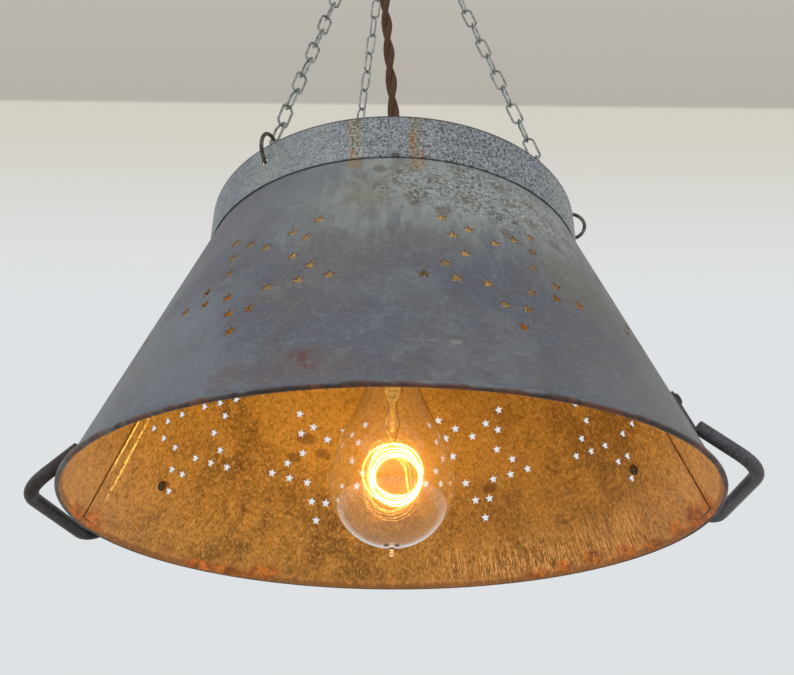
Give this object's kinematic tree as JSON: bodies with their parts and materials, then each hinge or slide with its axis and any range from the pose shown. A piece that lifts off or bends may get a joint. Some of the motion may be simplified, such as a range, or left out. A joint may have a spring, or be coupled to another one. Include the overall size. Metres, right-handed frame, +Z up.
{
  "type": "pendant lamp",
  "caption": "Pendant lamp made from an upturned galvanised tub with punched star patterns, hung by chains from a ring and ceiling hook, with a large clear filament bulb and a cloth cord.",
  "frame": {"origin": "centre of the ceiling plate's top face, which lies against the ceiling", "axes": "+Z up, -Y towards the pictured side, +X to the right in the picture; the handles lie near +X and -X"},
  "size_m": [0.4376, 0.3946, 0.8121],
  "materials": {
    "zinc": "dull galvanised sheet, mottled grey-blue with rust",
    "dark_steel": "old dark steel, smooth and slightly rusty",
    "bright_steel": "bright zinc-plated wire",
    "brass": "satin brass",
    "black_plastic": "matt black moulding",
    "ceramic": "glazed white ceramic",
    "cloth": "braided brown cloth over twisted cord",
    "bulb_glass": "clear blown glass",
    "glow": "glowing filament wire"
  },
  "bodies": {
    "ceiling_fitting": {"ceiling_plate": "bright_steel", "ceiling_hook": "bright_steel", "terminal_block": "ceramic", "cord_upper": "cloth"},
    "canopy": {"canopy": "dark_steel", "canopy_collar": "brass", "canopy_bushing": "black_plastic"},
    "ring": {"suspension_ring": "bright_steel"},
    "lamp": {"chain_left": "bright_steel", "chain_right": "bright_steel", "chain_back": "bright_steel", "jump_ring_left": "dark_steel", "jump_ring_right": "dark_steel", "jump_ring_back": "dark_steel", "wall_front": "zinc", "wall_back": "zinc", "rim_wire": "dark_steel", "foot_band": "zinc", "base_plate": "zinc", "handle_right": "dark_steel", "handle_left": "dark_steel", "rivet_right_near": "dark_steel", "rivet_right_far": "dark_steel", "rivet_left_near": "dark_steel", "rivet_left_far": "dark_steel", "nipple": "brass", "nipple_washer": "bright_steel", "nipple_nut": "brass", "cord_grip": "black_plastic", "lampholder_cap": "black_plastic", "lampholder_skirt": "black_plastic", "lampholder_insulator": "ceramic", "screw_shell": "brass", "centre_contact": "brass", "terminal_screw_left": "brass", "terminal_screw_right": "brass", "lead_left": "cloth", "lead_right": "cloth", "cord_lower": "cloth"},
    "bulb": {"bulb_glass": "bulb_glass", "bulb_cap": "brass", "bulb_cap_insulator": "black_plastic", "bulb_contact": "bright_steel", "bulb_stem": "bulb_glass", "filament": "glow", "support_wire_left": "bright_steel", "support_wire_right": "bright_steel"}
  },
  "joints": [
    {"name": "canopy_slide", "type": "slide", "parent": "ceiling_fitting", "child": "canopy", "axis": [0, 0, -1], "range_m": [0, 0.018]},
    {"name": "ring_swing", "type": "hinge", "parent": "ceiling_fitting", "child": "ring", "pos_m": [0, 0, -0.0965], "axis": [1, 0, 0], "range_deg": [-20, 20], "deforming": ["cord_upper", "cord_lower"]},
    {"name": "lamp_swing", "type": "hinge", "parent": "ring", "child": "lamp", "pos_m": [0, 0, -0.1217], "axis": [0, 1, 0], "range_deg": [-20, 20], "deforming": ["cord_lower", "cord_upper"]},
    {"name": "bulb_slide", "type": "slide", "parent": "lamp", "child": "bulb", "axis": [0, 0, -1], "range_m": [0, 0.03]}
  ]
}
